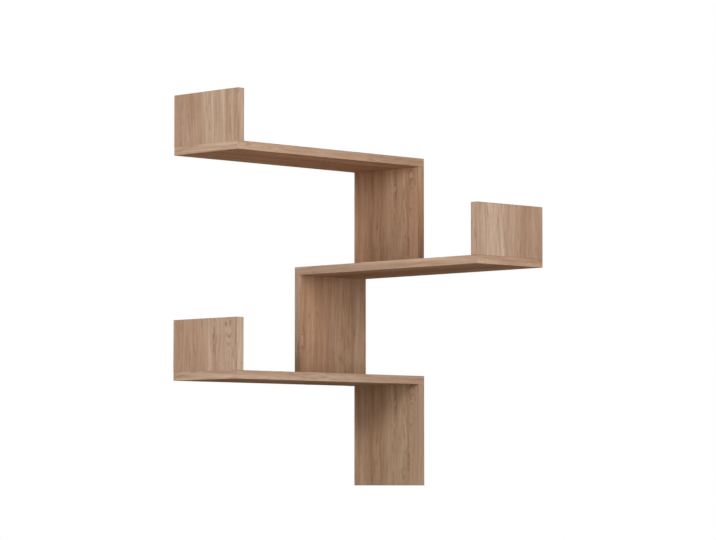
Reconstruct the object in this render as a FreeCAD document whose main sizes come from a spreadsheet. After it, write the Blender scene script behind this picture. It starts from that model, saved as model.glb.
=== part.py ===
import FreeCAD, Part
import math
import os
import Sketcher
from FreeCAD import Vector

# Corner wall shelf: three shelves of decor-faced chipboard that zigzag up a room corner.
# The bottom and top shelves run along the left wall and the middle one along the right wall.
# Each shelf's inner end lies on a wall panel of the other wall, and its outer end carries a low upright.
# Millimetres, +Z up. The origin is where the two walls meet, level with the lower end of the lowest panel.
# The left wall is the plane X = 0 and the right wall the plane Y = 0.

SIZES = {
    # Boards, all cut from one faced chipboard
    "shelf_length": 550,
    "shelf_depth": 200,
    "board_thickness": 18,
    "panel_height": 220,
    "upright_height": 110,
    # Plastic edge bands on the edges that show
    "band_thickness": 0.8,
    "band_rounding": 0.5,
    # One-piece connector screws, two in each joint
    "screw_edge_distance": 36,
    "screw_length": 50,
    "screw_head_width": 10,
    "screw_neck_width": 7,
    "screw_core_width": 5,
    "screw_tip_width": 3,
    "screw_tip_length": 3,
    "screw_socket_width": 4,
    "screw_socket_depth": 3,
    "screw_hole_clearance": 0.1,
    "pilot_end_room": 2,
    # Dowel in the middle of each joint
    "dowel_length": 30,
    "dowel_width": 8,
    "dowel_chamfer": 1,
    "dowel_depth_in_shelf": 12,
    "dowel_hole_clearance": 0.05,
    "dowel_end_room": 0.5,
    # Round stickers over the screw heads
    "sticker_width": 13,
    "sticker_thickness": 0.4,
    # Keyhole hanger plates let into the backs of the wall panels, two on each
    "hanger_length": 46,
    "hanger_width": 16,
    "hanger_thickness": 1.5,
    "hanger_spacing": 100,
    "hanger_height": 150,
    "hanger_recess_clearance": 0.2,
    "keyhole_entry_width": 9.5,
    "keyhole_slot_width": 4.8,
    "keyhole_drop": 8,
    "head_room_width": 11,
    "head_room_depth": 6,
    # Countersunk screws of the hanger plates, two in each
    "hanger_screw_spacing": 36,
    "hanger_screw_length": 12,
    "hanger_screw_head_width": 5.6,
    "hanger_screw_core_width": 3,
    "hanger_screw_tip_length": 2,
    "hanger_screw_clearance": 0.1,
}
COUNTERSINK_ANGLE = 90

# Shelf, wall panel below its inner end, and the wall that the shelf runs along, from the lowest up
TIERS = (
    ("bottom", "lower", "left"),
    ("middle", "middle", "right"),
    ("top", "upper", "left"),
)
OTHER_WALL = {"left": "right", "right": "left"}

LENGTH = "sizes.shelf_length"
DEPTH = "sizes.shelf_depth"
BOARD = "sizes.board_thickness"
BAND = "sizes.band_thickness"
EDGE = "sizes.screw_edge_distance"
STOREY = f"(sizes.panel_height + {BOARD})"

doc = FreeCAD.newDocument("corner_wall_shelf")
sheet = doc.addObject("Spreadsheet::Sheet", "sizes")
for row, (alias, value) in enumerate(SIZES.items(), 1):
    sheet.set(f"A{row}", alias)
    sheet.set(f"B{row}", str(value))
    sheet.setAlias(f"B{row}", alias)
doc.recompute()
pieces = []


def value_of(expression):
    return float(sheet.evalExpression(expression))


def spot(x, y):
    return Vector(value_of(x), value_of(y), 0)


def new_body(label, wall, level, shift=("0", "0", "0"), turn=("0", "0", "0")):
    """A piece in its wall's own frame: x along the wall from the corner, y across the shelf, z up from level."""
    body = doc.addObject("PartDesign::Body", label)
    at_wall = {
        "left": f"placement(vector(0; 0; {level}); rotation(-90; 0; 0))",
        "right": f"placement(vector(0; -{DEPTH}; {level}); rotation(0; 0; 0))",
    }[wall]
    in_frame = f"placement(vector({'; '.join(shift)}); rotation({'; '.join(turn)}))"
    body.setExpression("Placement", f"{at_wall} * {in_frame}")
    pieces.append(body)
    return body


def out_from(wall, start, size):
    """Lower y of a stretch that starts some way out from the wall."""
    return start if wall == "left" else f"{DEPTH} - ({start}) - ({size})"


def origin_of(body, role):
    return next(f for f in body.Origin.OriginFeatures if f.Role == role)


def new_sketch(body, name, role="XY_Plane", offset="0"):
    sketch = body.newObject("Sketcher::SketchObject", name)
    sketch.AttachmentSupport = [(origin_of(body, role), "")]
    sketch.MapMode = "FlatFace"
    sketch.setExpression("AttachmentOffset.Base.z", offset)
    return sketch


def dimension(sketch, expression, kind, *where):
    index = sketch.addConstraint(Sketcher.Constraint(kind, *where, value_of(expression)))
    sketch.setExpression(f"Constraints[{index}]", expression)


def locate(sketch, geometry, point, x, y):
    dimension(sketch, x, "DistanceX", -1, 1, geometry, point)
    dimension(sketch, y, "DistanceY", -1, 1, geometry, point)


def draw_outline(sketch, corners):
    """A closed line through corners that are given as pairs of expressions."""
    count = len(corners)
    for i in range(count):
        sketch.addGeometry(Part.LineSegment(spot(*corners[i]), spot(*corners[(i + 1) % count])))
    for i in range(count):
        sketch.addConstraint(Sketcher.Constraint("Coincident", i, 2, (i + 1) % count, 1))
        locate(sketch, i, 1, *corners[i])


def draw_circle(sketch, x, y, width):
    radius = value_of(width) / 2
    circle = sketch.addGeometry(Part.Circle(spot(x, y), Vector(0, 0, 1), radius))
    locate(sketch, circle, 3, x, y)
    dimension(sketch, width, "Diameter", circle)


def draw_upright_slot(sketch, x, low, high, width):
    """A slot with round ends, whose lower and upper arc centres are at low and high."""
    radius = value_of(width) / 2
    foot, head = spot(x, low), spot(x, high)
    side = Vector(radius, 0, 0)
    up = Vector(0, 0, 1)
    sketch.addGeometry(Part.ArcOfCircle(Part.Circle(foot, up, radius), math.pi, 2 * math.pi))
    sketch.addGeometry(Part.LineSegment(foot + side, head + side))
    sketch.addGeometry(Part.ArcOfCircle(Part.Circle(head, up, radius), 0, math.pi))
    sketch.addGeometry(Part.LineSegment(head - side, foot - side))
    for i in range(4):
        sketch.addConstraint(Sketcher.Constraint("Tangent", i, 2, (i + 1) % 4, 1))
    sketch.addConstraint(Sketcher.Constraint("Equal", 0, 2))
    locate(sketch, 0, 3, x, low)
    locate(sketch, 2, 3, x, high)
    dimension(sketch, width, "Diameter", 0)


def pad(body, sketch, length, backwards=False):
    feature = body.newObject("PartDesign::Pad", sketch.Name + "_pad")
    feature.Profile = sketch
    feature.Reversed = backwards
    feature.setExpression("Length", length)
    doc.recompute()
    return feature


def pocket(body, sketch, depth, backwards=False):
    feature = body.newObject("PartDesign::Pocket", sketch.Name + "_pocket")
    feature.Profile = sketch
    feature.Reversed = backwards
    feature.setExpression("Length", depth)
    doc.recompute()
    return feature


def drill(body, sketch, width, depth=None, backwards=False, head_width=None):
    """Holes at a sketch's circles. Without a depth they go right through, and head_width adds a countersink."""
    doc.recompute()
    hole = body.newObject("PartDesign::Hole", sketch.Name + "_holes")
    hole.Profile = sketch
    doc.recompute()
    hole.ThreadType = "None"
    hole.DrillPoint = "Flat"
    hole.Reversed = backwards
    hole.setExpression("Diameter", width)
    hole.DepthType = "Dimension" if depth else "ThroughAll"
    if depth:
        hole.setExpression("Depth", depth)
    if head_width:
        hole.HoleCutType = "Countersink"
        hole.HoleCutCountersinkAngle = COUNTERSINK_ANGLE
        hole.setExpression("HoleCutDiameter", head_width)
    doc.recompute()
    return hole


def drill_from(body, name, level, spots, width, upwards, depth=None, head_width=None):
    """Holes at plan spots, bored downwards from a level of the piece or upwards from it."""
    marks = new_sketch(body, name, offset=level)
    for x, y in spots:
        draw_circle(marks, x, y, width)
    return drill(body, marks, width, depth, upwards, head_width)


def turn_on_axis(body, name, outline):
    """A turned piece: its half outline, as pairs of radius and height, spun about the upright axis."""
    sketch = new_sketch(body, name, "XZ_Plane")
    draw_outline(sketch, outline)
    feature = body.newObject("PartDesign::Revolution", name + "_turned")
    feature.Profile = sketch
    feature.ReferenceAxis = (sketch, ["V_Axis"])
    doc.recompute()
    return feature


def repeat(body, features, length, other_length=None):
    """Two copies of the features along the body's x axis, and two rows along its y axis if asked."""
    pattern = body.newObject("PartDesign::LinearPattern", "repeat")
    pattern.Originals = features
    pattern.Direction = (origin_of(body, "X_Axis"), [""])
    pattern.Occurrences = 2
    pattern.setExpression("Length", length)
    if other_length:
        pattern.Direction2 = (origin_of(body, "Y_Axis"), [""])
        pattern.Occurrences2 = 2
        pattern.setExpression("Length2", other_length)
    body.Tip = pattern
    doc.recompute()


def slab(label, wall, level, along, out, height, foot="0"):
    """A right-angled piece, with a start and a size along the wall and out from it, and a height from its foot."""
    body = new_body(label, wall, level)
    plan = new_sketch(body, "plan", offset=foot)
    x, y = along[0], out_from(wall, *out)
    far_x, far_y = f"{x} + {along[1]}", f"{y} + {out[1]}"
    draw_outline(plan, [(x, y), (far_x, y), (far_x, far_y), (x, far_y)])
    pad(body, plan, height)
    return body


def band(label, wall, level, along, out, height, shows):
    """An edge band: a thin slab whose show face, found by its direction, has an eased rim."""
    body = slab(label, wall, level, along, out, height)
    strip = body.Tip
    faces = enumerate(strip.Shape.Faces, 1)
    show_face = next(n for n, face in faces if face.normalAt(0, 0).isEqual(shows, 1e-6))
    rim = body.newObject("PartDesign::Fillet", "eased_rim")
    rim.Base = (strip, [f"Face{show_face}"])
    rim.setExpression("Radius", f"min(sizes.band_rounding; 0.9 * {BAND})")
    doc.recompute()
    return body


# Plan spots of the three kinds of joint, in the frame of the wall that the shelf runs along:
# the upright on the shelf's outer end, the shelf on the panel under its inner end, the panel's foot on a shelf.
UPRIGHT_LINE = f"{LENGTH} - {BOARD} / 2"
CORNER_LINE = f"{BOARD} / 2"
FAR_EDGE = f"{DEPTH} - {EDGE}"
MIDDLE = f"{DEPTH} / 2"
UPRIGHT_SCREWS = [(UPRIGHT_LINE, EDGE), (UPRIGHT_LINE, FAR_EDGE)]
UPRIGHT_DOWEL = (UPRIGHT_LINE, MIDDLE)
CORNER_SCREWS = [(CORNER_LINE, EDGE), (CORNER_LINE, FAR_EDGE)]
CORNER_DOWEL = (CORNER_LINE, MIDDLE)


def wall_line(wall):
    """Line down the middle of a wall panel's thickness."""
    return out_from(wall, f"{BOARD} / 2", "0")


def foot_screws(wall):
    return [(EDGE, wall_line(wall)), (FAR_EDGE, wall_line(wall))]


def foot_dowel(wall):
    return MIDDLE, wall_line(wall)


# Holes for the fasteners: clearance holes and shallow dowel holes in the shelves, pilots and deep ones in edges
NECK_HOLE = "sizes.screw_neck_width + 2 * sizes.screw_hole_clearance"
HEAD_HOLE = "sizes.screw_head_width + 2 * sizes.screw_hole_clearance"
PILOT = "sizes.screw_core_width + 2 * sizes.screw_hole_clearance"
PILOT_DEPTH = f"sizes.screw_length - {BOARD} + sizes.pilot_end_room"
DOWEL_HOLE = "sizes.dowel_width + 2 * sizes.dowel_hole_clearance"
SHALLOW = "sizes.dowel_depth_in_shelf + sizes.dowel_end_room"
DEEP = "sizes.dowel_length - sizes.dowel_depth_in_shelf + sizes.dowel_end_room"


def drill_edge(body, side, level, screws, dowel, upwards):
    """Pilots and a deep dowel hole in a board's edge."""
    drill_from(body, side + "_pilot", level, screws, PILOT, upwards, PILOT_DEPTH)
    drill_from(body, side + "_dowel", level, [dowel], DOWEL_HOLE, upwards, DEEP)


def make_shelf(word, wall, level, carries_panel):
    name = f"{word}_shelf"
    body = slab(name, wall, level, ("0", f"{LENGTH} - {BAND}"), ("0", f"{DEPTH} - {BAND}"), BOARD)
    from_below = UPRIGHT_SCREWS + (foot_screws(wall) if carries_panel else [])
    dowels_above = [UPRIGHT_DOWEL] + ([foot_dowel(wall)] if carries_panel else [])
    drill_from(body, "lower_screw", "0", from_below, NECK_HOLE, True, head_width=HEAD_HOLE)
    drill_from(body, "upper_screw", BOARD, CORNER_SCREWS, NECK_HOLE, False, head_width=HEAD_HOLE)
    drill_from(body, "upper_dowel", BOARD, dowels_above, DOWEL_HOLE, False, SHALLOW)
    drill_from(body, "lower_dowel", "0", [CORNER_DOWEL], DOWEL_HOLE, True, SHALLOW)
    front = Vector(0, 1 if wall == "left" else -1, 0)
    end = Vector(1, 0, 0)
    front_out = (f"{DEPTH} - {BAND}", BAND)
    end_along = (f"{LENGTH} - {BAND}", BAND)
    band(f"{name}_front_band", wall, level, ("0", LENGTH), front_out, BOARD, front)
    band(f"{name}_end_band", wall, level, end_along, ("0", f"{DEPTH} - {BAND}"), BOARD, end)


def make_upright(word, wall, level):
    name = f"{word}_upright"
    along = (f"{LENGTH} - {BOARD}", BOARD)
    core_out = ("0", f"{DEPTH} - {BAND}")
    height = "sizes.upright_height"
    body = slab(name, wall, level, along, core_out, f"{height} - {BAND}")
    drill_edge(body, "foot", "0", UPRIGHT_SCREWS, UPRIGHT_DOWEL, True)
    front = Vector(0, 1 if wall == "left" else -1, 0)
    front_out = (f"{DEPTH} - {BAND}", BAND)
    band(f"{name}_front_band", wall, level, along, front_out, height, front)
    top_level = f"{level} + {height} - {BAND}"
    band(f"{name}_top_band", wall, top_level, along, core_out, BAND, Vector(0, 0, 1))


# Hanger plates: the screw in the wall ends up at the top of the keyhole's slot, at the hanger's height
SEAT = "sizes.hanger_height"
ENTRY = f"({SEAT} - sizes.keyhole_drop)"
PLATE_MIDDLE = f"({SEAT} - sizes.keyhole_drop / 2)"
FIRST_HANGER = f"({DEPTH} - sizes.hanger_spacing) / 2"
HALF_STRAIGHT = "(sizes.hanger_length - sizes.hanger_width) / 2"
LOW_SCREW = f"{PLATE_MIDDLE} - sizes.hanger_screw_spacing / 2"
HIGH_SCREW = f"{PLATE_MIDDLE} + sizes.hanger_screw_spacing / 2"
HANGER_SCREW_HOLE = "sizes.hanger_screw_core_width + 2 * sizes.hanger_screw_clearance"
HANGER_HEAD_HOLE = "sizes.hanger_screw_head_width + 2 * sizes.hanger_screw_clearance"


def back_sketch(body, name, wall):
    """A sketch on the plane of the wall, seen with x along the wall and z up."""
    return new_sketch(body, name, "XZ_Plane", "0" if wall == "left" else f"-{DEPTH}")


def draw_plate(sketch, clearance):
    low, high = f"{PLATE_MIDDLE} - {HALF_STRAIGHT}", f"{PLATE_MIDDLE} + {HALF_STRAIGHT}"
    draw_upright_slot(sketch, FIRST_HANGER, low, high, f"sizes.hanger_width + 2 * {clearance}")


def draw_screw_marks(sketch):
    for height in (LOW_SCREW, HIGH_SCREW):
        draw_circle(sketch, FIRST_HANGER, height, HANGER_SCREW_HOLE)


def recess_for_hangers(body, wall):
    """Recesses in a wall panel's back: a seat for the plate, room behind its keyhole, and pilots."""
    cuts_along_normal = wall == "right"
    seat = back_sketch(body, "hanger_seat", wall)
    draw_plate(seat, "sizes.hanger_recess_clearance")
    room = back_sketch(body, "head_room", wall)
    draw_upright_slot(room, FIRST_HANGER, ENTRY, SEAT, "sizes.head_room_width")
    marks = back_sketch(body, "hanger_pilot", wall)
    draw_screw_marks(marks)
    pilot_depth = "sizes.hanger_screw_length + sizes.pilot_end_room"
    cuts = [
        pocket(body, seat, "sizes.hanger_thickness", cuts_along_normal),
        pocket(body, room, "sizes.hanger_thickness + sizes.head_room_depth", cuts_along_normal),
        drill(body, marks, HANGER_SCREW_HOLE, pilot_depth, cuts_along_normal),
    ]
    repeat(body, cuts, "sizes.hanger_spacing")


def make_hangers(panel_name, wall, level):
    """The pair of steel plates of one wall panel, flush with its back, and their four screws."""
    plates = new_body(f"{panel_name}_hangers", wall, level)
    thickness = "sizes.hanger_thickness"
    cuts_along_normal = wall == "right"
    outline = back_sketch(plates, "plate", wall)
    draw_plate(outline, "0")
    entry = back_sketch(plates, "keyhole_entry", wall)
    draw_circle(entry, FIRST_HANGER, ENTRY, "sizes.keyhole_entry_width")
    slot = back_sketch(plates, "keyhole_slot", wall)
    draw_upright_slot(slot, FIRST_HANGER, ENTRY, SEAT, "sizes.keyhole_slot_width")
    marks = back_sketch(plates, "fixing", wall)
    draw_screw_marks(marks)
    features = [
        pad(plates, outline, thickness, not cuts_along_normal),
        pocket(plates, entry, thickness, cuts_along_normal),
        pocket(plates, slot, thickness, cuts_along_normal),
        drill(plates, marks, HANGER_SCREW_HOLE, None, cuts_along_normal, HANGER_HEAD_HOLE),
    ]
    repeat(plates, features, "sizes.hanger_spacing")

    # Each screw's own axis points from its head into the panel, and the second row lies below or above the first
    first_row, back = (HIGH_SCREW, "0") if wall == "left" else (LOW_SCREW, DEPTH)
    into_panel = "-90" if wall == "left" else "90"
    shift = (FIRST_HANGER, back, first_row)
    screws = new_body(f"{panel_name}_hanger_screws", wall, level, shift, ("0", "0", into_panel))
    head, core = "sizes.hanger_screw_head_width / 2", "sizes.hanger_screw_core_width / 2"
    length = "sizes.hanger_screw_length"
    outline = [
        ("0", "0"),
        (head, "0"),
        (core, f"{head} - {core}"),
        (core, f"{length} - sizes.hanger_screw_tip_length"),
        ("0", length),
    ]
    screw = turn_on_axis(screws, "screw", outline)
    repeat(screws, [screw], "sizes.hanger_spacing", "sizes.hanger_screw_spacing")


def make_wall_panel(word, wall, level, stands_on_shelf):
    """A wall panel. One that hangs free below its shelf has a band on its lower edge instead of a joint."""
    name = f"{word}_wall_panel"
    height = "sizes.panel_height"
    foot = "0" if stands_on_shelf else BAND
    core_along = ("0", f"{DEPTH} - {BAND}")
    out = ("0", BOARD)
    body = slab(name, wall, level, core_along, out, f"{height} - {foot}", foot)
    drill_edge(body, "head", height, foot_screws(wall), foot_dowel(wall), False)
    if stands_on_shelf:
        drill_edge(body, "foot", foot, foot_screws(wall), foot_dowel(wall), True)
    else:
        band(f"{name}_bottom_band", wall, level, core_along, out, BAND, Vector(0, 0, -1))
    recess_for_hangers(body, wall)
    band(f"{name}_front_band", wall, level, (f"{DEPTH} - {BAND}", BAND), out, height, Vector(1, 0, 0))
    make_hangers(name, wall, level)


# Turn of a joint's row of fasteners from the line of the wall
ALONG, ACROSS = "0", "90"


def screw_outline():
    """Half outline of a connector screw, from its head's flat face at height 0 to its tip."""
    head, neck = "sizes.screw_head_width / 2", "sizes.screw_neck_width / 2"
    core, tip = "sizes.screw_core_width / 2", "sizes.screw_tip_width / 2"
    length, tip_start = "sizes.screw_length", "sizes.screw_length - sizes.screw_tip_length"
    neck_end = f"{BOARD} - ({neck} - {core})"
    return [
        ("0", "0"),
        (head, "0"),
        (neck, f"{head} - {neck}"),
        (neck, neck_end),
        (core, BOARD),
        (core, tip_start),
        (tip, length),
        ("0", length),
    ]


def fasten(joint, wall, level, screws, dowel, row_turn, point_down):
    """The two screws, the dowel and the two stickers of one joint, whose row is turned from the wall's line."""
    head_face = BOARD if point_down else "0"
    turn = (row_turn, "0", "180" if point_down else "0")
    body = new_body(f"{joint}_screws", wall, level, (*screws[0], head_face), turn)
    shank = turn_on_axis(body, "screw", screw_outline())
    socket = new_sketch(body, "socket")
    corner_radius = "sizes.screw_socket_width / sqrt(3)"
    hexagon = [(f"{corner_radius} * cos({60 * i})", f"{corner_radius} * sin({60 * i})") for i in range(6)]
    draw_outline(socket, hexagon)
    drive = pocket(body, socket, "sizes.screw_socket_depth", True)
    repeat(body, [shank, drive], f"{DEPTH} - 2 * {EDGE}")

    in_shelf = "sizes.dowel_depth_in_shelf"
    foot = f"{in_shelf} - sizes.dowel_length" if point_down else f"{BOARD} - {in_shelf}"
    body = new_body(f"{joint}_dowel", wall, level, (*dowel, foot))
    radius, length, chamfer = "sizes.dowel_width / 2", "sizes.dowel_length", "sizes.dowel_chamfer"
    outline = [
        ("0", "0"),
        (f"{radius} - {chamfer}", "0"),
        (radius, chamfer),
        (radius, f"{length} - {chamfer}"),
        (f"{radius} - {chamfer}", length),
        ("0", length),
    ]
    turn_on_axis(body, "dowel", outline)

    face = f"{level} + {BOARD}" if point_down else f"{level} - sizes.sticker_thickness"
    body = new_body(f"{joint}_stickers", wall, face)
    discs = new_sketch(body, "sticker")
    for x, y in screws:
        draw_circle(discs, x, y, "sizes.sticker_width")
    pad(body, discs, "sizes.sticker_thickness")


for tier, (shelf, panel, wall) in enumerate(TIERS):
    panel_wall = OTHER_WALL[wall]
    panel_level = f"{tier} * {STOREY}"
    shelf_level = f"{panel_level} + sizes.panel_height"
    upright_level = f"{tier + 1} * {STOREY}"
    carries_panel = tier + 1 < len(TIERS)
    make_wall_panel(panel, panel_wall, panel_level, tier > 0)
    make_shelf(shelf, wall, shelf_level, carries_panel)
    make_upright(shelf, wall, upright_level)
    fasten(f"{panel}_wall_panel_head", wall, shelf_level, CORNER_SCREWS, CORNER_DOWEL, ACROSS, True)
    fasten(f"{shelf}_upright", wall, shelf_level, UPRIGHT_SCREWS, UPRIGHT_DOWEL, ACROSS, False)
    if carries_panel:
        foot = f"{TIERS[tier + 1][1]}_wall_panel_foot"
        fasten(foot, wall, shelf_level, foot_screws(wall), foot_dowel(wall), ALONG, False)

doc.recompute()
for item in doc.Objects:
    if "Invalid" in item.State or "Error" in item.State:
        raise RuntimeError(f"{item.Label} failed: {item.State}")
    if item.TypeId in ("PartDesign::Hole", "PartDesign::Pocket"):
        if item.Shape.Volume >= item.BaseFeature.Shape.Volume:
            raise RuntimeError(f"{item.Label} cuts nothing")
for body in pieces:
    if body.Shape.isNull() or not body.Shape.isValid():
        raise RuntimeError(f"{body.Label} has no valid shape")

os.makedirs("parts", exist_ok=True)
for body in pieces:
    body.Shape.exportStep(f"parts/{body.Label}.step")
print(len(pieces), "pieces written")
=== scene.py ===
import math

import bpy
from mathutils import Matrix, Vector


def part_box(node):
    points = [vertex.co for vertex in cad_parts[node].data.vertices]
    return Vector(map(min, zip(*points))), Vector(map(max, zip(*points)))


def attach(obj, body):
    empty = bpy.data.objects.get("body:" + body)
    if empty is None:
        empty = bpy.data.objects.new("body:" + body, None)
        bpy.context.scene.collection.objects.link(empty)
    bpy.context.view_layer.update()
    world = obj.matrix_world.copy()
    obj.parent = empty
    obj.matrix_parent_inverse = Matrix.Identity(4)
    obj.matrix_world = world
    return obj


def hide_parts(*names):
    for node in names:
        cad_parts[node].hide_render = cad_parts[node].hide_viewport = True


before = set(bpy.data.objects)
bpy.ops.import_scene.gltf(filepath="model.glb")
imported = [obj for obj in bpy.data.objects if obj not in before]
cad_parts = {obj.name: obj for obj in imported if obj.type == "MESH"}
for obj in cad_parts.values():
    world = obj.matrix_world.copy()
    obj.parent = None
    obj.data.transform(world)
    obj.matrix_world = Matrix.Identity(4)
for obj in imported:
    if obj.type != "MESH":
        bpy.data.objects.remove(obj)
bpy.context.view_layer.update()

# Wall panels: three upright boards of 18 mm chipboard with an oak-print melamine face on both sides.
# Each is sawn from a printed sheet and hangs flat on its wall, between two shelves or below the lowest.
# The print, the chipboard core and the painted shade along rims are node groups, which all boards share.

MM = 0.001
X, Y, Z = range(3)


def feed(tree, socket, value):
    """Links another node's output to a socket, or sets a plain value on it."""
    if isinstance(value, bpy.types.NodeSocket):
        tree.links.new(value, socket)
    else:
        socket.default_value = value


def add_node(tree, kind, inputs=None, **settings):
    """A node with its settings, whose inputs are values or other nodes' output sockets."""
    node = tree.nodes.new(kind)
    for name, value in settings.items():
        setattr(node, name, value)
    for name, value in (inputs or {}).items():
        feed(tree, node.inputs[name], value)
    return node


def calc(tree, operation, *values):
    """The result of a Math node on sockets or numbers."""
    return add_node(tree, "ShaderNodeMath", dict(enumerate(values)), operation=operation).outputs[0]


def vector_calc(tree, operation, *values):
    """The result of a Vector Math node on sockets or vectors."""
    return add_node(tree, "ShaderNodeVectorMath", dict(enumerate(values)), operation=operation).outputs[0]


def ramp_up(tree, value, low, high):
    """0 below low and 1 above high, with a smooth step between them."""
    limits = {"Value": value, "From Min": low, "From Max": high}
    return add_node(tree, "ShaderNodeMapRange", limits, interpolation_type="SMOOTHSTEP").outputs[0]


def mix_colours(tree, share, first, second):
    """The first colour, with the given share of the second."""
    node = add_node(tree, "ShaderNodeMix", data_type="RGBA")
    sockets = [s for s in node.inputs if s.enabled]
    for socket, value in zip(sockets, (share, first, second)):
        feed(tree, socket, value)
    return next(s for s in node.outputs if s.enabled)


def add_sockets(tree, inputs, outputs):
    """Gives a node group its named sockets."""
    for in_out, sockets in (("INPUT", inputs), ("OUTPUT", outputs)):
        for label, kind in sockets:
            tree.interface.new_socket(label, in_out=in_out, socket_type="NodeSocket" + kind)


def new_group(name, inputs, outputs):
    """An empty shader node group with its sockets, and its input and output nodes."""
    group = bpy.data.node_groups.new(name, "ShaderNodeTree")
    add_sockets(group, inputs, outputs)
    return group, add_node(group, "NodeGroupInput").outputs, add_node(group, "NodeGroupOutput").inputs


def streaks(tree, along, across, length, width, detail):
    """Noise drawn out along the grain: streaks about as long and as wide as asked, in metres."""
    spot = {0: calc(tree, "DIVIDE", along, length), 1: calc(tree, "DIVIDE", across, width)}
    place = add_node(tree, "ShaderNodeCombineXYZ", spot).outputs[0]
    noise = {"Vector": place, "Scale": 1.0, "Detail": detail}
    return add_node(tree, "ShaderNodeTexNoise", noise, noise_dimensions="2D").outputs[0]


def spans_away(tree, along, across, spot_along, spot_across, length, width):
    """Squared distance from a spot, where its length along the grain and its width across it count as 1."""
    beyond = calc(tree, "DIVIDE", calc(tree, "SUBTRACT", along, spot_along), length)
    beside = calc(tree, "DIVIDE", calc(tree, "SUBTRACT", across, spot_across), width)
    return calc(tree, "MULTIPLY_ADD", beyond, beyond, calc(tree, "MULTIPLY", beside, beside))


def fading(tree, spread):
    """1 in the middle of a spot, and less and less away from it."""
    return calc(tree, "EXPONENT", calc(tree, "MULTIPLY", spread, -1.0))


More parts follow.
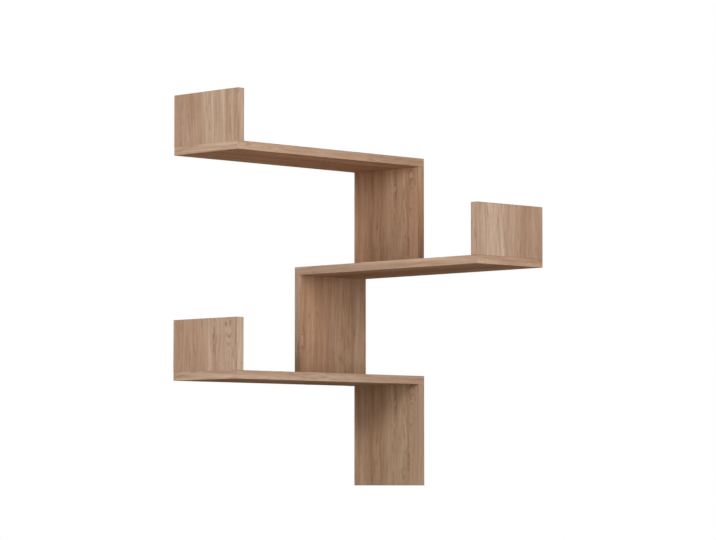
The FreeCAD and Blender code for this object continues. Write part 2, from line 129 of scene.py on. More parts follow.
def oak_print():
    """The printed oak of a decor sheet: x runs along the grain and y across it, in metres."""
    outputs = [("Color", "Color"), ("Height", "Float"), ("Pores", "Float")]
    group, given, result = new_group("oak_print", [("Place", "Vector")], outputs)
    split = add_node(group, "ShaderNodeSeparateXYZ", {0: given["Place"]})
    along, across = split.outputs[0], split.outputs[1]

    # Growth lines wander a little, and part and close again round each knot. The knots come back with each
    # turn of the printing cylinder. A knot has its place along and across, its length and width, its pull on
    # the lines and the strength of its mark.
    cylinder_girth = 1.3
    knots = [
        (0.007, 0.074, 0.0135, 0.0095, 1.9, 1.0),
        (-0.012, 0.077, 0.0115, 0.0085, 1.7, 0.7),
        (-0.045, 0.075, 0.0350, 0.0100, 1.3, 0.2),
        (-0.620, -0.030, 0.0190, 0.0105, 1.8, 0.7),
        (0.470, -0.012, 0.1400, 0.0160, 1.5, 0.15),
        (-0.310, 0.055, 0.1800, 0.0180, 1.4, 0.25),
    ]
    wander_width, raggedness = 0.012, 1.1
    turn = calc(group, "WRAP", along, cylinder_girth / 2, -cylinder_girth / 2)
    wander = streaks(group, along, across, 0.16, 0.045, 2.0)
    line = calc(group, "MULTIPLY_ADD", calc(group, "SUBTRACT", wander, 0.5), wander_width, across)
    ragged = streaks(group, along, across, 0.011, 0.006, 1.0)
    ragged = calc(group, "MULTIPLY", calc(group, "SUBTRACT", ragged, 0.5), raggedness)
    outline, eye = 0.0, 0.0
    for knot_along, knot_across, length, width, pull, mark in knots:
        spread = spans_away(group, turn, line, knot_along, knot_across, length, width)
        beside = calc(group, "SUBTRACT", line, knot_across)
        push = calc(group, "MULTIPLY", calc(group, "MULTIPLY", beside, fading(group, spread)), -pull)
        line = calc(group, "ADD", line, push)
        spread = calc(group, "ADD", spread, ragged)
        outside_eye = ramp_up(group, spread, 0.10, 0.55)
        outside_ring = ramp_up(group, spread, 0.55, 1.20)
        ring = calc(group, "MULTIPLY", calc(group, "SUBTRACT", outside_eye, outside_ring), mark)
        outline = calc(group, "MAXIMUM", outline, ring)
        inside = calc(group, "MULTIPLY", calc(group, "SUBTRACT", 1.0, outside_eye), mark)
        eye = calc(group, "MAXIMUM", eye, inside)

    # Staves of a redder and a paler tone, the paler ones with olive streaks
    stave_pitch = 0.21
    red_oak = (0.428, 0.281, 0.195, 1)
    pale_oak = (0.484, 0.338, 0.246, 1)
    olive_oak = (0.424, 0.296, 0.207, 1)
    wave = calc(group, "SINE", calc(group, "MULTIPLY", line, 2 * math.pi / stave_pitch))
    stave = ramp_up(group, wave, -0.55, 0.55)
    colour = mix_colours(group, stave, red_oak, pale_oak)
    olive = ramp_up(group, streaks(group, along, line, 0.40, 0.014, 1.0), 0.48, 0.70)
    colour = mix_colours(group, calc(group, "MULTIPLY", olive, stave), colour, olive_oak)

    # Bands, streaks and fibres, each finer and shorter than the last, by length, width, detail and contrast.
    # What is darker is also redder.
    layers = [
        (0.9, 0.030, 1.0, 0.42),
        (0.26, 0.012, 2.0, 0.46),
        (0.11, 0.0055, 2.0, 0.50),
        (0.06, 0.0022, 2.0, 0.38),
    ]
    channel_powers = (0.78, 1.0, 1.18)
    shade = 1.0
    for length, width, detail, contrast in layers:
        layer = streaks(group, along, line, length, width, detail)
        shade = calc(group, "MULTIPLY_ADD", calc(group, "SUBTRACT", layer, 0.5), contrast, shade)
    fibres = layer
    channels = {channel: calc(group, "POWER", shade, power) for channel, power in enumerate(channel_powers)}
    tint = add_node(group, "ShaderNodeCombineXYZ", channels).outputs[0]
    shaded = vector_calc(group, "MULTIPLY", colour, tint)

    # Heart marks: broken dark lines a few millimetres wide, here and there, and two longer cracks in each
    # turn of the cylinder, by place along and across, length and width
    cracks = [
        (-0.141, 0.065, 0.042, 0.0042),
        (-0.022, 0.030, 0.036, 0.0040),
    ]
    heart_brown = (0.235, 0.134, 0.082, 1)
    heart_share, crack_weight = 0.42, 1.7
    marks = ramp_up(group, streaks(group, along, line, 0.030, 0.0040, 2.0), 0.50, 0.70)
    patches = ramp_up(group, streaks(group, along, line, 0.24, 0.017, 1.0), 0.52, 0.64)
    gaps = ramp_up(group, streaks(group, along, line, 0.013, 0.005, 1.0), 0.34, 0.56)
    heart = calc(group, "MULTIPLY", marks, patches)
    for crack in cracks:
        broken = calc(group, "MULTIPLY", fading(group, spans_away(group, turn, line, *crack)), gaps)
        heart = calc(group, "MAXIMUM", heart, calc(group, "MULTIPLY", broken, crack_weight))
    shaded = mix_colours(group, calc(group, "MULTIPLY", heart, heart_share), shaded, heart_brown)

    # Knots: a pale eye in a broken dark outline
    pale_eye = (0.545, 0.390, 0.290, 1)
    eye_share, ring_share = 0.6, 0.72
    broken_ring = calc(group, "MULTIPLY", calc(group, "MULTIPLY", outline, gaps), ring_share)
    shaded = mix_colours(group, calc(group, "MULTIPLY", eye, eye_share), shaded, pale_eye)
    shaded = mix_colours(group, broken_ring, shaded, heart_brown)

    # Pores: short dark dashes, thicker where the wood grew early in the year
    pore_brown = (0.235, 0.138, 0.085, 1)
    pore_share, fibre_height = 0.55, 0.4
    dashes = streaks(group, along, line, 0.014, 0.0007, 1.0)
    early = streaks(group, along, line, 0.45, 0.007, 2.0)
    pores = calc(group, "MULTIPLY", ramp_up(group, dashes, 0.60, 0.72), ramp_up(group, early, 0.42, 0.62))
    printed = mix_colours(group, calc(group, "MULTIPLY", pores, pore_share), shaded, pore_brown)
    height = calc(group, "SUBTRACT", calc(group, "MULTIPLY", fibres, fibre_height), pores)
    for name, value in (("Color", printed), ("Height", height), ("Pores", pores)):
        group.links.new(value, result[name])
    return group


def chipboard_core():
    """Glued wood chips, as a sawn edge or a drilled hole shows them."""
    straw, bark, wood_dust = (0.70, 0.51, 0.325, 1), (0.37, 0.225, 0.120, 1), (0.54, 0.375, 0.225, 1)
    pressed_flat = (1, 1, 2.6)
    chips_per_metre, dust_per_metre, dust_share = 420.0, 900.0, 0.5
    outputs = [("Color", "Color"), ("Height", "Float")]
    group, given, result = new_group("chipboard_core", [("Place", "Vector")], outputs)
    pressing = {"Vector": given["Place"], "Scale": pressed_flat}
    pressed = add_node(group, "ShaderNodeMapping", pressing).outputs[0]
    chips = add_node(group, "ShaderNodeTexVoronoi", {"Vector": pressed, "Scale": chips_per_metre})
    tone = add_node(group, "ShaderNodeSeparateColor", {0: chips.outputs["Color"]}).outputs[0]
    dusting = {"Vector": given["Place"], "Scale": dust_per_metre, "Detail": 3.0}
    dust = add_node(group, "ShaderNodeTexNoise", dusting).outputs[0]
    chip = mix_colours(group, tone, bark, straw)
    speckled = mix_colours(group, calc(group, "MULTIPLY", dust, dust_share), chip, wood_dust)
    group.links.new(speckled, result["Color"])
    group.links.new(calc(group, "ADD", tone, dust), result["Height"])
    return group


def rim_shading():
    """How near a spot is to the rim of a flat piece: 1 at the rim and 0 from the given width inwards."""
    inputs = [("Place", "Vector"), ("Half size", "Vector"), ("Width", "Float")]
    group, given, result = new_group("rim_shading", inputs, [("Mask", "Float")])
    room = vector_calc(group, "SUBTRACT", given["Half size"], vector_calc(group, "ABSOLUTE", given["Place"]))
    split = add_node(group, "ShaderNodeSeparateXYZ", {0: room})
    nearest = calc(group, "MINIMUM", split.outputs[0], split.outputs[1])
    mask = calc(group, "SUBTRACT", 1.0, ramp_up(group, nearest, 0.0, given["Width"]))
    group.links.new(mask, result["Mask"])
    return group


OAK_PRINT, CHIPBOARD, RIM = oak_print(), chipboard_core(), rim_shading()


def use_group(tree, group, inputs):
    """The outputs of a group that is placed in a material with its own values."""
    return add_node(tree, "ShaderNodeGroup", inputs, node_tree=group).outputs


def new_material(name):
    """A material, its tree, its shader and the coordinates of the piece that wears it."""
    material = bpy.data.materials.new(name)
    material.use_nodes = True
    tree = material.node_tree
    coordinates = add_node(tree, "ShaderNodeTexCoord").outputs["Object"]
    return material, tree, tree.nodes["Principled BSDF"], coordinates


def set_surface(tree, shader, colour, roughness, height, strength, depth):
    """Gives a shader its colour and roughness, and a relief of the given depth in metres."""
    relief = {"Height": height, "Strength": strength, "Distance": depth}
    normal = add_node(tree, "ShaderNodeBump", relief).outputs[0]
    for name, value in (("Base Color", colour), ("Roughness", roughness), ("Normal", normal)):
        tree.links.new(value, shader.inputs[name])


def own_frame(node, grain_axis):
    """A flat piece's centre, turn and half sizes, with x along its grain and z through its thickness.

    The last value says which side of z shows: panels and uprights face the room, shelves are seen from below.
    """
    low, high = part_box(node)
    size = high - low
    thin_axis = min(range(3), key=lambda axis: size[axis])
    x, z = Vector(), Vector()
    x[grain_axis] = z[thin_axis] = 1
    turn = Matrix((x, z.cross(x), z)).transposed()
    half_size = Vector(abs(v) for v in turn.transposed() @ (size / 2))
    shown_side = 1 if thin_axis == X else -1
    return (low + high) / 2, turn.to_euler(), half_size, shown_side


def printed_material(name, node, grain_axis, cut, tone, rim_width, rim_shade, has_core):
    """Oak print on a flat piece, cut from the sheet at the given spot.

    A board with a core has another part of the sheet on its far face, and chips where it is sawn or drilled.
    """
    paper = 0.25 * MM
    far_cut = (2.17, 0.58, 0)
    matt, more_in_pores, matt_core = 0.82, 0.1, 0.9
    centre, turn, half_size, shown_side = own_frame(node, grain_axis)
    material, tree, decor, coordinates = new_material(name)
    decor.inputs["Specular IOR Level"].default_value = 0.0
    placing = {"Vector": coordinates, "Location": centre, "Rotation": turn}
    place = add_node(tree, "ShaderNodeMapping", placing, vector_type="TEXTURE").outputs[0]
    on_sheet = vector_calc(tree, "ADD", place, (*cut, 0))
    if has_core:
        depth = add_node(tree, "ShaderNodeSeparateXYZ", {0: place}).outputs[2]
        far_face = calc(tree, "LESS_THAN", calc(tree, "MULTIPLY", depth, shown_side), 0.0)
        on_sheet = vector_calc(tree, "MULTIPLY_ADD", far_face, far_cut, on_sheet)
    oak = use_group(tree, OAK_PRINT, {"Place": on_sheet})
    # Painted light and shade: the tone lightens or darkens the print of each piece for the light that falls
    # on it.
    print_with_painted_light = vector_calc(tree, "MULTIPLY", oak["Color"], tone)
    # On the boards the darker rim is painted shade, for the contact shadow where parts meet; on the bands it
    # is the bared core plastic.
    rim = use_group(tree, RIM, {"Place": place, "Half size": half_size, "Width": rim_width})["Mask"]
    colour = mix_colours(tree, rim, print_with_painted_light, vector_calc(tree, "MULTIPLY", print_with_painted_light, (rim_shade,) * 3))
    roughness = calc(tree, "MULTIPLY_ADD", oak["Pores"], more_in_pores, matt)
    height = oak["Height"]
    if has_core:
        core = calc(tree, "LESS_THAN", calc(tree, "ABSOLUTE", depth), half_size.z - paper)
        chips = use_group(tree, CHIPBOARD, {"Place": place})
        colour = mix_colours(tree, core, colour, chips["Color"])
        roughness = calc(tree, "MAXIMUM", roughness, calc(tree, "MULTIPLY", core, matt_core))
        height = calc(tree, "ADD", height, calc(tree, "MULTIPLY", chips["Height"], core))
    set_surface(tree, decor, colour, roughness, height, strength=0.25, depth=0.08 * MM)
    return material


def dress(node, material):
    """Gives a CAD piece its finish."""
    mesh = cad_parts[node].data
    mesh.materials.clear()
    mesh.materials.append(material)


# A rim has a width and a shade, which on the boards is painted shade for the contact shadow where parts meet.
# Each board has its cut, its place along and across the sheet, and a tone that is painted light and shade.
PAINTED_RIM_SHADE = (1.0 * MM, 0.90)
# Painted shade: the panels lie in the shelves' shade, and their tones make them darker and warmer.
panels = {
    "lower_wall_panel": ((-5.290, -0.002), (0.97, 0.955, 0.875)),
    "middle_wall_panel": ((-3.186, -0.127), (0.99, 0.91, 0.82)),
    "upper_wall_panel": ((-5.286, -0.002), (1.02, 0.905, 0.80)),
}
for node, (cut, tone) in panels.items():
    dress(node, printed_material(node + "_oak", node, Z, cut, tone, *PAINTED_RIM_SHADE, has_core=True))

# Hanger plates: pairs of pressed, zinc-plated steel plates with a keyhole, flush with the panels' backs.
# Their keyholes drop over screws in the wall, so the whole shelf hangs on them.


def noise_on(tree, coordinates, waves, detail):
    """Noise on a piece, with about so many waves to the metre along x, y and z."""
    drawn = add_node(tree, "ShaderNodeMapping", {"Vector": coordinates, "Scale": waves}).outputs[0]
    return add_node(tree, "ShaderNodeTexNoise", {"Vector": drawn, "Scale": 1.0, "Detail": detail}).outputs[0]


def brushed_zinc(name, bright, roughness):
    """Zinc plating with faint upright draw marks and cloudy spots."""
    dull_share, marks_share, clouds_share, cloudy_roughness = 0.62, 0.4, 0.6, 0.25
    dull = tuple(dull_share * channel for channel in bright)
    material, tree, plating, coordinates = new_material(name)
    plating.inputs["Metallic"].default_value = 1.0
    marks = noise_on(tree, coordinates, (2500, 2500, 60), 2.0)
    clouds = noise_on(tree, coordinates, (160, 160, 160), 4.0)
    tone = calc(tree, "MULTIPLY_ADD", marks, marks_share, calc(tree, "MULTIPLY", clouds, clouds_share))
    colour = mix_colours(tree, tone, (*dull, 1), (*bright, 1))
    roughness = calc(tree, "MULTIPLY_ADD", clouds, cloudy_roughness, roughness)
    set_surface(tree, plating, colour, roughness, marks, strength=0.15, depth=0.02 * MM)
    return material


hanger_steel = brushed_zinc("hanger_steel", (0.44, 0.445, 0.452), 0.30)
for panel in panels:
    dress(panel + "_hangers", hanger_steel)

# Hanger screws: small countersunk chipboard screws with a cross recess, bright zinc, two in each plate.
# A turned body gets a helical thread and its recess, and the tree sets it at each screw's head.


def add_switch(tree, values):
    """Picks one of the values by a point's index along the line that is being shaped."""
    switch = add_node(tree, "GeometryNodeIndexSwitch", data_type="FLOAT")
    while len(switch.index_switch_items) < len(values):
        switch.index_switch_items.new()
    index = add_node(tree, "GeometryNodeInputIndex").outputs[0]
    for number, value in enumerate((index, *values)):
        feed(tree, switch.inputs[number], value)
    return switch.outputs[0]


def turned_body(tree, outline, section):
    """A closed body on the z axis, with pairs of radius and height, and a section of radius 1."""
    radii, heights = zip(*outline)
    points = add_node(tree, "GeometryNodeMeshLine", {"Count": len(outline)}).outputs[0]
    line = add_node(tree, "GeometryNodeMeshToCurve", {"Mesh": points}).outputs[0]
    spot = add_node(tree, "ShaderNodeCombineXYZ", {2: add_switch(tree, heights)}).outputs[0]
    axis = add_node(tree, "GeometryNodeSetPosition", {"Geometry": line, "Position": spot}).outputs[0]
    sweep = {"Curve": axis, "Profile Curve": section, "Scale": add_switch(tree, radii), "Fill Caps": True}
    return add_node(tree, "GeometryNodeCurveToMesh", sweep).outputs[0]


def circle(tree, corners, radius):
    """A circle as a ring of straight runs."""
    sizes = {"Resolution": corners, "Radius": radius}
    return add_node(tree, "GeometryNodeCurvePrimitiveCircle", sizes).outputs[0]


def new_tree(name, sizes):
    """A geometry node tree on given points, with a named input for each size, a turn and a finish."""
    tree = bpy.data.node_groups.new(name, "GeometryNodeTree")
    tree.is_modifier = True
    inputs = [("Points", "Geometry"), *((label, "Float") for label in sizes)]
    inputs += [("Turn", "Vector"), ("Finish", "Material")]
    add_sockets(tree, inputs, [("Pieces", "Geometry")])
    return tree, add_node(tree, "NodeGroupInput").outputs


def set_out(tree, given, body):
    """Sets a body on each point with the given turn and finish, and ends the tree."""
    spread = {"Points": given["Points"], "Instance": body, "Rotation": given["Turn"]}
    copies = add_node(tree, "GeometryNodeInstanceOnPoints", spread).outputs[0]
    real = add_node(tree, "GeometryNodeRealizeInstances", {"Geometry": copies}).outputs[0]
    coating = {"Geometry": real, "Material": given["Finish"]}
    coated = add_node(tree, "GeometryNodeSetMaterial", coating).outputs[0]
    add_node(tree, "NodeGroupOutput", {"Pieces": coated})


def add_object(name, data):
    """A new object in the scene, at the origin."""
    thing = bpy.data.objects.new(name, data)
    bpy.context.scene.collection.objects.link(thing)
    return thing


def make_pieces(name, node, tree, points, sizes, turn, finish):
    """Runs a tree on points and keeps its result as a plain mesh, which stands for a CAD node."""
    sharp_bend = math.radians(35)
    seeds = bpy.data.meshes.new(name + "_points")
    seeds.from_pydata(points, [], [])
    carrier = add_object(name + "_points", seeds)
    modifier = carrier.modifiers.new("tree", "NODES")
    modifier.node_group = tree
    inputs = {s.name: s.identifier for s in tree.interface.items_tree if s.in_out == "INPUT"}
    for label, value in {**sizes, "Turn": turn, "Finish": finish}.items():
        modifier[inputs[label]] = value
    evaluated = carrier.evaluated_get(bpy.context.evaluated_depsgraph_get())
    mesh = bpy.data.meshes.new_from_object(evaluated)
    carrier.modifiers.remove(modifier)
    bpy.data.objects.remove(carrier)
    mesh.name = name
    mesh.shade_smooth()
    mesh.set_sharp_from_angle(angle=sharp_bend)
    piece = add_object(name, mesh)
    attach(piece, "root")
    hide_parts(node)


SCREW_SIZES = [
    "Head width", "Neck width", "Neck length", "Core width", "Thread width", "Thread pitch",
    "Length", "Tip length", "Tip width", "Recess width", "Recess depth",
]


def screw_tree(name, cross_recess):
    """A countersunk screw that points along +z from its head, with a cross recess or a hexagon socket."""
    tree, given = new_tree(name, SCREW_SIZES)

    def half(label):
        """Half of one of the given widths."""
        return calc(tree, "MULTIPLY", given[label], 0.5)

    head, neck, core, tip = (half(n) for n in ("Head width", "Neck width", "Core width", "Tip width"))
    cone_end = calc(tree, "SUBTRACT", head, neck)
    tip_start = calc(tree, "SUBTRACT", given["Length"], given["Tip length"])
    thread_start = calc(tree, "ADD", given["Neck length"], calc(tree, "SUBTRACT", neck, core))
    outline = [
        (head, 0.0),
        (neck, cone_end),
        (neck, given["Neck length"]),
        (core, thread_start),
        (core, tip_start),
        (tip, given["Length"]),
    ]
    body = turned_body(tree, outline, circle(tree, corners=24, radius=1.0))

    # Cutters stand half in the head, so they are twice as tall as the recess is deep. One arm of the cross is
    # shallower, because two that end on one plane leave the recess open.
    blade_share, shallower_arm = 0.28, 1.8
    wide = given["Recess width"]
    deep = calc(tree, "MULTIPLY", given["Recess depth"], 2.0)
    if cross_recess:
        blade = calc(tree, "MULTIPLY", wide, blade_share)
        shallower = calc(tree, "MULTIPLY", given["Recess depth"], shallower_arm)
        cutters = []
        for size in ((wide, blade, deep), (blade, wide, shallower)):
            box_size = add_node(tree, "ShaderNodeCombineXYZ", dict(enumerate(size))).outputs[0]
            cutters.append(add_node(tree, "GeometryNodeMeshCube", {"Size": box_size}).outputs[0])
    else:
        hexagon = {"Vertices": 6, "Radius": calc(tree, "DIVIDE", wide, math.sqrt(3)), "Depth": deep}
        cutters = [add_node(tree, "GeometryNodeMeshCylinder", hexagon).outputs[0]]
    for cutter in cutters:
        cut = add_node(tree, "GeometryNodeMeshBoolean", {"Mesh 1": body}, operation="DIFFERENCE")
        tree.links.new(cutter, cut.inputs["Mesh 2"])
        body = cut.outputs[0]

    # The thread is a square ridge, half sunk in the core
    thread_length = calc(tree, "SUBTRACT", tip_start, thread_start)
    spiral = {
        "Resolution": 14,
        "Rotations": calc(tree, "DIVIDE", thread_length, given["Thread pitch"]),
        "Start Radius": core,
        "End Radius": core,
        "Height": thread_length,
    }
    helix = add_node(tree, "GeometryNodeCurveSpiral", spiral).outputs[0]
    ridge = circle(tree, corners=4, radius=calc(tree, "SUBTRACT", half("Thread width"), core))
    winding = {"Curve": helix, "Profile Curve": ridge, "Fill Caps": True}
    wound = add_node(tree, "GeometryNodeCurveToMesh", winding).outputs[0]
    lift = add_node(tree, "ShaderNodeCombineXYZ", {2: thread_start}).outputs[0]
    thread = add_node(tree, "GeometryNodeTransform", {"Geometry": wound, "Translation": lift}).outputs[0]
    whole = add_node(tree, "GeometryNodeJoinGeometry")
    tree.links.new(body, whole.inputs[0])
    tree.links.new(thread, whole.inputs[0])
    set_out(tree, given, whole.outputs[0])
    return tree


def corner_spots(node, inset, level):
    """The four or two spots in the corners of a node's box, an inset inside it, with one coordinate fixed."""
    fixed_axis, value = level
    low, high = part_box(node)
    choices = []
    for axis in range(3):
        ends = [low[axis] + inset, high[axis] - inset]
        if axis == fixed_axis:
            ends = [value]
        elif ends[1] - ends[0] <= inset:
            ends = ends[:1]
        choices.append(ends)
    return [(x, y, z) for x in choices[0] for y in choices[1] for z in choices[2]]


hanger_screw = {
    "Head width": 5.6 * MM, "Neck width": 3.0 * MM, "Neck length": 3.0 * MM, "Core width": 2.2 * MM,
    "Thread width": 3.0 * MM, "Thread pitch": 1.35 * MM, "Length": 12 * MM, "Tip length": 2.5 * MM,
    "Tip width": 0.5 * MM, "Recess width": 3.2 * MM, "Recess depth": 1.1 * MM,
}
hanger_tree = screw_tree("hanger_screw", cross_recess=True)
bright_zinc = brushed_zinc("bright_zinc", (0.72, 0.71, 0.68), 0.22)
for panel in panels:
    node = panel + "_hanger_screws"
    low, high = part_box(node)
    on_left_wall = high.x - low.x < high.y - low.y
    back = (X, low.x) if on_left_wall else (Y, high.y)
    turn = (0, math.pi / 2, 0) if on_left_wall else (math.pi / 2, 0, 0)
    heads = corner_spots(node, hanger_screw["Head width"] / 2, back)
    make_pieces(node + "_bright", node, hanger_tree, heads, hanger_screw, turn, bright_zinc)

# Shelves: three long boards of the same faced chipboard, each on the panel under its inner end.
# The grain runs along them; fronts and outer ends are banded, the edges at the wall stay sawn.

# Painted light and shade: the top shelf is toned lighter and the bottom shelf darker, for the light on their
# undersides.
shelves = {
    "bottom_shelf": ((1.20, 0.13), (0.88, 0.89, 0.89)),
    "middle_shelf": ((2.35, -0.27), (0.98, 0.97, 0.96)),
    "top_shelf": ((3.90, 0.36), (1.14, 1.07, 1.02)),
}
for node, (cut, tone) in shelves.items():
    low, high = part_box(node)
    grain = X if high.x - low.x > high.y - low.y else Y
    dress(node, printed_material(node + "_oak", node, grain, cut, tone, *PAINTED_RIM_SHADE, has_core=True))

# End uprights: low boards of the same make that stand on the shelves' outer ends and hold books in.
# Their grain is upright, as on the wall panels, and their fronts and tops are banded.

# A tone of 1 paints no light or shade. The middle upright's lighter tone is painted light on its outer face.
NO_PAINTED_LIGHT = (1.0, 1.0, 1.0)
uprights = {
    "bottom_upright": ((9.064, 0.002), NO_PAINTED_LIGHT),
    "middle_upright": ((10.345, 0.635), (1.05, 1.07, 1.08)),
    "top_upright": ((7.030, -0.410), NO_PAINTED_LIGHT),
}
for node, (cut, tone) in uprights.items():
    dress(node, printed_material(node + "_oak", node, Z, cut, tone, *PAINTED_RIM_SHADE, has_core=True))

# Edge bands: plastic strips 0.8 mm thick with the same print, glued on each edge that shows.
# Their rims are milled round, which bares the darker plastic under the print.

BAND_RIM = (0.7 * MM, 0.86)
# Each band's tone is painted light and shade: lighter or darker for the light on its face, and darker and
# warmer on the wall panels' fronts, as in shade.
bands = {
    "bottom_shelf_end_band": ((-3.833, 0.715), (1.02, 1.03, 1.00)),
    "bottom_shelf_front_band": ((4.030, 0.948), (1.01, 1.02, 1.04)),
    "bottom_upright_front_band": ((-6.758, -0.785), (0.975, 1.04, 1.03)),
    "bottom_upright_top_band": ((-2.51, 0.471), NO_PAINTED_LIGHT),
    "lower_wall_panel_bottom_band": ((-1.68, 0.528), NO_PAINTED_LIGHT),
    "lower_wall_panel_front_band": ((-0.85, 0.585), (0.93, 0.94, 0.925)),
    "middle_shelf_end_band": ((-2.900, -0.735), (1.03, 1.00, 0.99)),
    "middle_shelf_front_band": ((-2.953, -1.005), (1.00, 0.975, 0.967)),
    "middle_upright_front_band": ((-4.920, -0.628), (0.965, 0.99, 1.04)),
    "middle_upright_top_band": ((2.47, 0.813), NO_PAINTED_LIGHT),
    "middle_wall_panel_front_band": ((3.118, 0.500), (0.94, 0.90, 0.875)),
    "top_shelf_end_band": ((-5.590, 0.930), (1.01, 1.00, 0.98)),
    "top_shelf_front_band": ((0.925, 0.750), (1.11, 1.14, 1.13)),
    "top_upright_front_band": ((-6.010, 0.238), (0.975, 0.99, 1.02)),
    "top_upright_top_band": ((6.62, 1.098), NO_PAINTED_LIGHT),
    "upper_wall_panel_front_band": ((7.45, 1.155), (0.92, 0.82, 0.74)),
}
for node, (cut, tone) in bands.items():
    low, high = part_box(node)
    size = high - low
    grain = max(range(3), key=lambda axis: size[axis])
    dress(node, printed_material(node + "_oak", node, grain, cut, tone, *BAND_RIM, has_core=False))

# Dowels: fluted beech pins, one in the middle of each joint, half in the shelf and half in the board's edge.
# They are turned from straight-grained rod, with chamfered ends and pressed flutes that take the glue.


def dowel_tree():
    """A fluted pin with chamfered ends that stands on each point."""
    tree, given = new_tree("fluted_dowel", ["Length", "Width", "Chamfer", "Flute depth"])
    radius = calc(tree, "MULTIPLY", given["Width"], 0.5)
    slim = calc(tree, "SUBTRACT", radius, given["Chamfer"])
    far_shoulder = calc(tree, "SUBTRACT", given["Length"], given["Chamfer"])
    outline = [(slim, 0.0), (radius, given["Chamfer"]), (radius, far_shoulder), (slim, given["Length"])]
    valley = calc(tree, "SUBTRACT", 1.0, calc(tree, "DIVIDE", given["Flute depth"], radius))
    fluting = {"Points": 20, "Inner Radius": valley, "Outer Radius": 1.0}
    section = add_node(tree, "GeometryNodeCurveStar", fluting).outputs[0]
    set_out(tree, given, turned_body(tree, outline, section))
    return tree


def beech():
    """Pinkish straight-grained beech with short dark flecks."""
    late_wood, early_wood, fleck = (0.50, 0.315, 0.185, 1), (0.68, 0.47, 0.30, 1), (0.36, 0.20, 0.11, 1)
    least_roughness, rougher_grain = 0.6, 0.2
    material, tree, wood, coordinates = new_material("beech")
    grain = noise_on(tree, coordinates, (1400, 1400, 60), 3.0)
    flecks = noise_on(tree, coordinates, (2600, 2600, 420), 1.0)
    plain = mix_colours(tree, grain, late_wood, early_wood)
    colour = mix_colours(tree, ramp_up(tree, flecks, 0.60, 0.72), plain, fleck)
    roughness = calc(tree, "MULTIPLY_ADD", grain, rougher_grain, least_roughness)
    set_surface(tree, wood, colour, roughness, grain, strength=0.2, depth=0.05 * MM)
    return material


JOINTS = [node.removesuffix("_dowel") for node in sorted(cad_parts) if node.endswith("_dowel")]
fluted_dowel, beech_wood = dowel_tree(), beech()
for joint in JOINTS:
    node = joint + "_dowel"
    low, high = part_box(node)
    sizes = {
        "Length": high.z - low.z, "Width": high.x - low.x, "Chamfer": 1 * MM, "Flute depth": 0.3 * MM,
    }
    foot = ((low.x + high.x) / 2, (low.y + high.y) / 2, low.z)
    make_pieces(node + "_fluted", node, fluted_dowel, [foot], sizes, (0, 0, 0), beech_wood)

# Connector screws: one-piece furniture screws, 7 x 50 mm, two in each joint, driven with a hexagon key.
# They pass through the shelf and cut their coarse thread into the chipboard of the upright or panel.

connector = {
    "Head width": 10 * MM, "Neck width": 7 * MM, "Neck length": 16 * MM, "Core width": 5 * MM,
    "Thread width": 7 * MM, "Thread pitch": 3 * MM, "Length": 50 * MM, "Tip length": 3 * MM,
    "Tip width": 3 * MM, "Recess width": 4 * MM, "Recess depth": 3 * MM,
}
connector_tree = screw_tree("connector_screw", cross_recess=False)
for joint in JOINTS:
    node = joint + "_screws"
    low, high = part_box(node)
    points_down = joint.endswith("_head")
    level = (Z, high.z if points_down else low.z)
    turn = (math.pi, 0, 0) if points_down else (0, 0, 0)
    heads = corner_spots(node, connector["Head width"] / 2, level)
    make_pieces(node + "_threaded", node, connector_tree, heads, connector, turn, bright_zinc)

# Cover stickers: thin round foils with the oak print, pressed over each connector screw's head.
# Each pair is punched a step further along the sheet, and the punch rounds their rims a little.


def sticker_tree():
    """A thin round foil on each point, with its upper rim drawn in."""
    rim_share = 0.6
    tree, given = new_tree("cover_sticker", ["Width", "Thickness"])
    radius = calc(tree, "MULTIPLY", given["Width"], 0.5)
    shoulder = calc(tree, "MULTIPLY", given["Thickness"], rim_share)
    top = calc(tree, "SUBTRACT", radius, shoulder)
    outline = [(radius, 0.0), (radius, shoulder), (top, given["Thickness"])]
    set_out(tree, given, turned_body(tree, outline, circle(tree, corners=48, radius=1.0)))
    return tree


FOIL_RIM = (0.3 * MM, 0.8)
FIRST_CUT, STEP_ALONG, STEP_ACROSS = 8.0, 0.41, 0.035
cover_sticker = sticker_tree()
for number, joint in enumerate(JOINTS):
    node = joint + "_stickers"
    low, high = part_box(node)
    grain = Y if high.x - low.x < high.y - low.y else X
    cut = (STEP_ALONG * number + FIRST_CUT, STEP_ACROSS * number)
    foil = printed_material(node + "_foil", node, grain, cut, NO_PAINTED_LIGHT, *FOIL_RIM, has_core=False)
    faces_up = joint.endswith("_head")
    level = (Z, low.z if faces_up else high.z)
    turn = (0, 0, 0) if faces_up else (math.pi, 0, 0)
    sizes = {"Width": 13 * MM, "Thickness": high.z - low.z}
    spots = corner_spots(node, sizes["Width"] / 2, level)
    make_pieces(node + "_foil", node, cover_sticker, spots, sizes, turn, foil)

# Stage: a pale floor well below the shelf, which hangs on no wall here, and a white surround.
# Only what the camera, a mirror or glass sees of them is white, so they put no extra light on the boards.
# The floor keeps the shelf's shadow and fades into the white further out.

scene = bpy.context.scene
scene.view_settings.view_transform = "Standard"


def seen_directly(tree):
    """1 for rays that show the background: straight from the camera, mirrored or through glass."""
    path = add_node(tree, "ShaderNodeLightPath").outputs
    mirrored = calc(tree, "MAXIMUM", path["Is Glossy Ray"], path["Is Transmission Ray"])
    return calc(tree, "MAXIMUM", path["Is Camera Ray"], mirrored)


def show_apart(tree, lit, seen, output):
    """One shader for what lights the shelf, and another for what the camera sees."""
    both = add_node(tree, "ShaderNodeMixShader", {0: seen_directly(tree)})
    tree.links.new(lit.outputs[0], both.inputs[1])
    tree.links.new(seen.outputs[0], both.inputs[2])
    tree.links.new(both.outputs[0], tree.nodes[output].inputs[0])


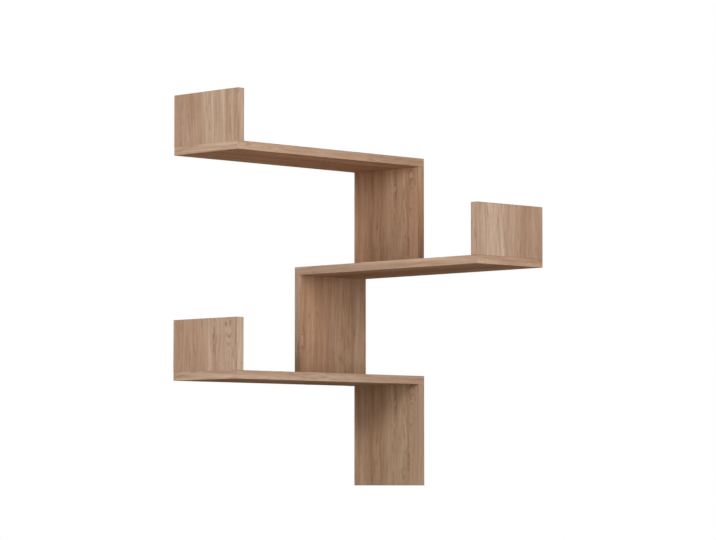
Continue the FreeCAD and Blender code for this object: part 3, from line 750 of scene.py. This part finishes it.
WHITE, BLACK = (1, 1, 1, 1), (0, 0, 0, 1)
scene.world = bpy.data.worlds.new("surround")
scene.world.use_nodes = True
tree = scene.world.node_tree
room_light = tree.nodes["Background"]
room_light.inputs["Color"].default_value = (1.0, 0.86, 0.72, 1)
room_light.inputs["Strength"].default_value = 0.05
white_surround = add_node(tree, "ShaderNodeBackground", {"Color": WHITE, "Strength": 1.0})
show_apart(tree, room_light, white_surround, "World Output")

FLOOR_LEVEL, HALF_FLOOR = -0.9, 4.5
signs = ((-1, -1), (1, -1), (1, 1), (-1, 1))
floor_corners = [(HALF_FLOOR * x, HALF_FLOOR * y, FLOOR_LEVEL) for x, y in signs]
floor_mesh = bpy.data.meshes.new("floor")
floor_mesh.from_pydata(floor_corners, [], [(0, 1, 2, 3)])
floor = add_object("floor", floor_mesh)
floor_paint = bpy.data.materials.new("floor_paint")
floor_paint.use_nodes = True
tree = floor_paint.node_tree
tree.nodes.remove(tree.nodes["Principled BSDF"])
warm_floor, shadow_grey, glow_grey = (0.32, 0.26, 0.21, 1), (0.45, 0.45, 0.45, 1), (0.55, 0.55, 0.55, 1)
fade_start, fade_end = 0.8, 2.8
below_shelf = (0.2, -0.2, FLOOR_LEVEL)
bounce = add_node(tree, "ShaderNodeBsdfDiffuse", {"Color": warm_floor})
spot = add_node(tree, "ShaderNodeTexCoord").outputs["Object"]
apart = add_node(tree, "ShaderNodeVectorMath", {0: spot, 1: below_shelf}, operation="DISTANCE")
fade = ramp_up(tree, apart.outputs["Value"], fade_start, fade_end)
lit = add_node(tree, "ShaderNodeBsdfDiffuse", {"Color": mix_colours(tree, fade, shadow_grey, BLACK)})
glow_inputs = {"Color": mix_colours(tree, fade, glow_grey, WHITE), "Strength": 1.0}
glow = add_node(tree, "ShaderNodeEmission", glow_inputs)
pale = add_node(tree, "ShaderNodeAddShader", {0: lit.outputs[0], 1: glow.outputs[0]})
show_apart(tree, bounce, pale, "Material Output")
floor_mesh.materials.append(floor_paint)

# Light: a small key lamp and a tall strip light at either side of the camera, and soft lights from the front
# above, from overhead and from behind. Each lamp's share is the brightness of a white board that faces it.

CENTRE = Vector((0.2, -0.2, 0.41))
LAMP_DISTANCE = 4.0


def direction(azimuth, elevation):
    """Unit vector from the shelf, by degrees round it from the -Y axis and degrees above level."""
    a, e = math.radians(azimuth), math.radians(elevation)
    return Vector((math.sin(a) * math.cos(e), -math.cos(a) * math.cos(e), math.sin(e)))


def softbox(name, azimuth, elevation, width, height, share):
    """A soft lamp that faces the shelf's centre and that the camera doesn't see."""
    lamp = bpy.data.lights.new(name, "AREA")
    lamp.shape = "RECTANGLE"
    lamp.size = width
    lamp.size_y = height
    lamp.energy = share * (math.pi * LAMP_DISTANCE) ** 2
    towards = direction(azimuth, elevation)
    holder = add_object(name, lamp)
    holder.location = CENTRE + LAMP_DISTANCE * towards
    holder.rotation_euler = towards.to_track_quat("Z", "Y").to_euler()
    holder.visible_camera = False


softbox("left_key", 15, 8, 0.62, 0.62, 0.29)
softbox("left_strip", 0, 2, 0.6, 3.4, 0.187)
softbox("right_key", 75, 8, 0.62, 0.62, 0.13)
softbox("right_strip", 75, 8, 0.6, 3.4, 0.645)
softbox("top_light", 0, 60, 2.2, 2.2, 0.49)
softbox("overhead", 45, 88, 2.2, 2.2, 0.22)
softbox("back_light", 225, 24, 1.3, 1.3, 0.50)

# Camera: low and far off with a long lens, level with the foot of the lowest panel and tilted up a little.
# It looks into the room corner, so the panels on both walls and the shelves' undersides show.

camera = bpy.data.cameras.new("camera")
camera.sensor_width = 36.0
camera.lens = 160.36
tilt, yaw = 0.0666, 0.7974
viewer = add_object("camera", camera)
viewer.location = (5.0756, -4.9619, 0.0059)
viewer.rotation_euler = (math.pi / 2 + tilt, 0, yaw)
scene.camera = viewer
